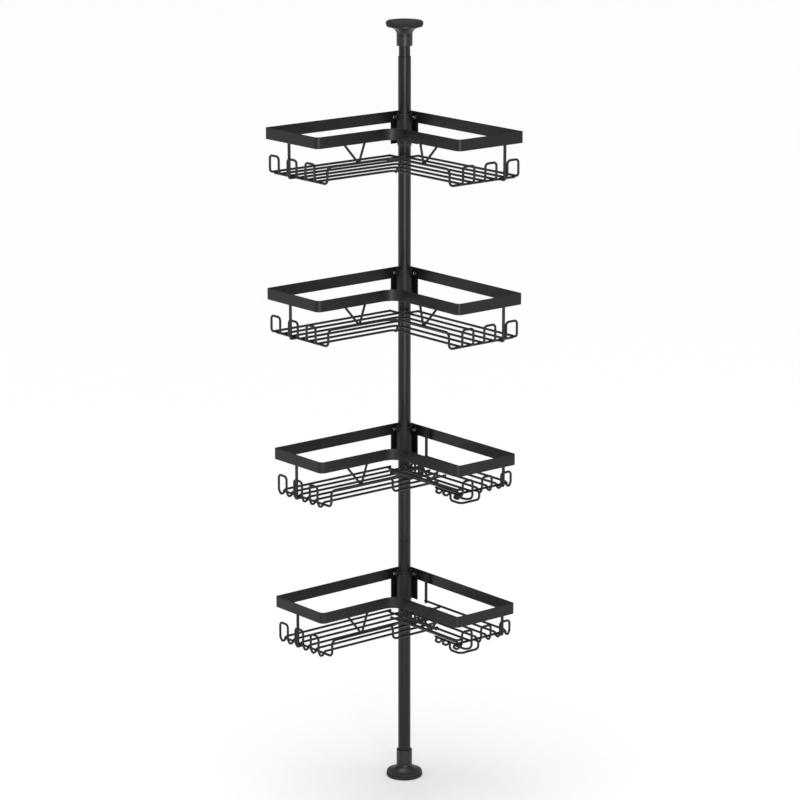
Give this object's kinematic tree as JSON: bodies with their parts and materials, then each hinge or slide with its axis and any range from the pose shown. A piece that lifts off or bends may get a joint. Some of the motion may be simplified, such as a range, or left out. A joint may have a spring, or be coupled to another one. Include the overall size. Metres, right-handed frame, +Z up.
{
  "type": "tension pole shower caddy",
  "caption": "Floor-to-ceiling corner shower caddy: a sprung pole with L-shaped wire baskets that slide and swivel on it, with end hooks.",
  "frame": {"origin": "centre of the foot pad's underside, on the pole's axis, where it stands on the floor", "axes": "+Z up the pole; +X along the right wing of the baskets, with its wall on the +Y side; -Y along the left wing, with its wall on the -X side, so the room's corner is at -X +Y"},
  "size_m": [0.357, 0.357, 1.527],
  "materials": {
    "black_steel": "satin black powder coat",
    "black_plastic": "moulded, lightly grained",
    "black_rubber": "matte non-slip",
    "plain_steel": "zinc plated"
  },
  "bodies": {
    "pole": {"foot_pad": "black_rubber", "foot_cup": "black_plastic", "foot_collar": "black_plastic", "pole_tube_1": "black_steel", "pole_tube_2": "black_steel", "pole_tube_3": "black_steel", "tube_joiner_1": "plain_steel", "tube_joiner_2": "plain_steel", "spring_seat": "black_plastic", "tension_spring": "plain_steel"},
    "pole_head": {"inner_tube": "black_steel", "ceiling_collar": "black_plastic", "ceiling_cup": "black_plastic", "ceiling_pad": "black_rubber"},
    "tier1_clip": {"tier1_clip_front": "black_plastic", "tier1_clip_back": "black_plastic"},
    "tier1_basket": {"tier1_band_rail": "black_steel", "tier1_left_hooks": "black_steel", "tier1_floor_wires": "black_steel", "tier1_right_hooks": "black_steel", "tier1_guard_rail": "black_steel", "tier1_corner_bracket": "black_steel", "tier1_screw_right": "plain_steel", "tier1_screw_left": "plain_steel"},
    "tier2_clip": {"tier2_clip_front": "black_plastic", "tier2_clip_back": "black_plastic"},
    "tier2_basket": {"tier2_band_rail": "black_steel", "tier2_left_hooks": "black_steel", "tier2_floor_wires": "black_steel", "tier2_right_hooks": "black_steel", "tier2_guard_rail": "black_steel", "tier2_corner_bracket": "black_steel", "tier2_screw_right": "plain_steel", "tier2_screw_left": "plain_steel"},
    "tier3_clip": {"tier3_clip_front": "black_plastic", "tier3_clip_back": "black_plastic"},
    "tier3_basket": {"tier3_band_rail": "black_steel", "tier3_left_hooks": "black_steel", "tier3_floor_wires": "black_steel", "tier3_right_tray": "black_steel", "tier3_right_hooks": "black_steel", "tier3_guard_rail": "black_steel", "tier3_slot_rack": "black_steel", "tier3_front_hooks": "black_steel", "tier3_corner_bracket": "black_steel", "tier3_screw_right": "plain_steel", "tier3_screw_left": "plain_steel"},
    "tier4_clip": {"tier4_clip_front": "black_plastic", "tier4_clip_back": "black_plastic"},
    "tier4_basket": {"tier4_band_rail": "black_steel", "tier4_left_hooks": "black_steel", "tier4_floor_wires": "black_steel", "tier4_right_tray": "black_steel", "tier4_right_hooks": "black_steel", "tier4_guard_rail": "black_steel", "tier4_slot_rack": "black_steel", "tier4_front_hooks": "black_steel", "tier4_corner_bracket": "black_steel", "tier4_screw_right": "plain_steel", "tier4_screw_left": "plain_steel"}
  },
  "joints": [
    {"name": "head_spring_travel", "type": "slide", "parent": "pole", "child": "pole_head", "axis": [0, 0, 1], "range_m": [-0.018, 0], "stiffness_N_per_m": 2500, "deforming": ["tension_spring"]},
    {"name": "tier1_height", "type": "slide", "parent": "pole", "child": "tier1_clip", "axis": [0, 0, 1], "range_m": [-0.1, 0.1]},
    {"name": "tier1_swivel", "type": "hinge", "parent": "tier1_clip", "child": "tier1_basket", "pos_m": [0, 0, 1.319], "axis": [0, 0, 1], "continuous": true},
    {"name": "tier2_height", "type": "slide", "parent": "pole", "child": "tier2_clip", "axis": [0, 0, 1], "range_m": [-0.1, 0.1]},
    {"name": "tier2_swivel", "type": "hinge", "parent": "tier2_clip", "child": "tier2_basket", "pos_m": [0, 0, 1.013], "axis": [0, 0, 1], "continuous": true},
    {"name": "tier3_height", "type": "slide", "parent": "pole", "child": "tier3_clip", "axis": [0, 0, 1], "range_m": [-0.1, 0.1]},
    {"name": "tier3_swivel", "type": "hinge", "parent": "tier3_clip", "child": "tier3_basket", "pos_m": [0, 0, 0.6986], "axis": [0, 0, 1], "continuous": true},
    {"name": "tier4_height", "type": "slide", "parent": "pole", "child": "tier4_clip", "axis": [0, 0, 1], "range_m": [-0.1, 0.1]},
    {"name": "tier4_swivel", "type": "hinge", "parent": "tier4_clip", "child": "tier4_basket", "pos_m": [0, 0, 0.402], "axis": [0, 0, 1], "continuous": true}
  ]
}
